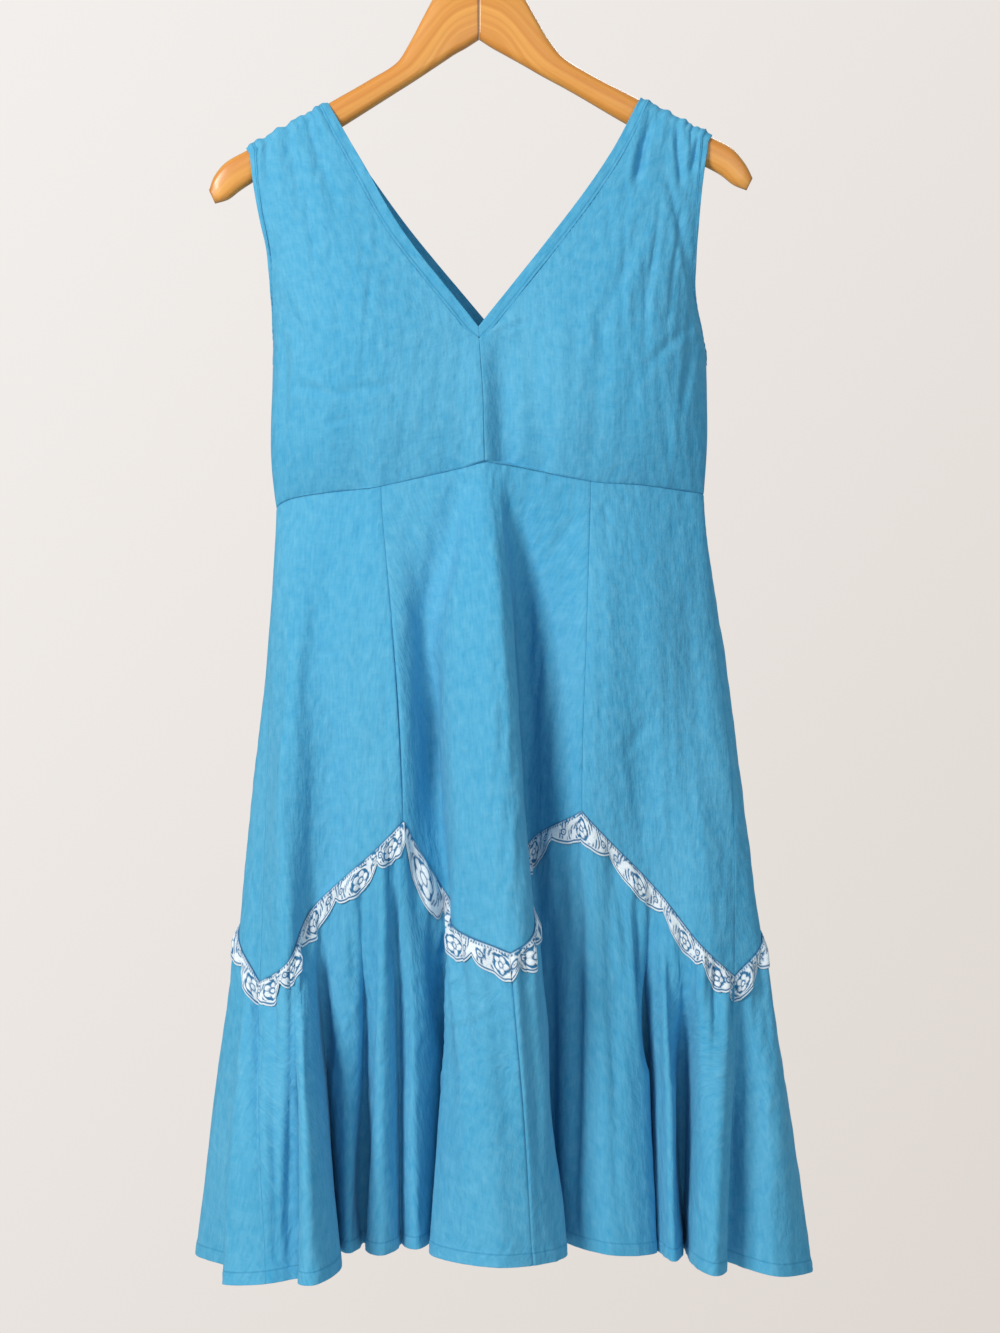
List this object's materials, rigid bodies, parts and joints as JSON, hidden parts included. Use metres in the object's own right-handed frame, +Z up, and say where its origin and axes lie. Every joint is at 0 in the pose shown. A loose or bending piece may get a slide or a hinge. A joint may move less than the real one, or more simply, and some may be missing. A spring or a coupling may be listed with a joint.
{
  "type": "midi dress on a wooden hanger",
  "caption": "Sleeveless V-neck midi dress with a raised waist seam, panelled skirt and gathered flounce edged in lace, hung on a wooden hanger with a wire hook.",
  "frame": {"origin": "inside top of the hanger's hook, where a rail carries it", "axes": "+Z up, -Y out of the front of the dress, +X to the right of someone who faces the front"},
  "size_m": [0.5169, 0.2136, 1.1563],
  "materials": {
    "cloth": "plain-woven, matte, slightly slubbed sky-blue cloth",
    "lace": "white embroidered net lace with a corded edge",
    "wood": "varnished orange-tan hardwood",
    "steel": "bright steel wire"
  },
  "bodies": {
    "root": {"bodice_front_left": "cloth", "bodice_front_right": "cloth", "bodice_back_left": "cloth", "bodice_back_right": "cloth", "neck_band_front_left": "cloth", "neck_band_front_right": "cloth", "neck_band_back_left": "cloth", "neck_band_back_right": "cloth", "armhole_band_front_left": "cloth", "armhole_band_front_right": "cloth", "armhole_band_back_left": "cloth", "armhole_band_back_right": "cloth", "skirt_front_left": "cloth", "skirt_front_centre": "cloth", "skirt_front_right": "cloth", "skirt_back_left": "cloth", "skirt_back_centre": "cloth", "skirt_back_right": "cloth", "flounce_front_left": "cloth", "flounce_front_right": "cloth", "flounce_back_left": "cloth", "flounce_back_right": "cloth", "lace_front_left": "lace", "lace_front_right": "lace", "lace_back_left": "lace", "lace_back_right": "lace", "hanger_arm_left": "wood", "hanger_arm_right": "wood", "hanger_hook": "steel"}
  },
  "joints": []
}
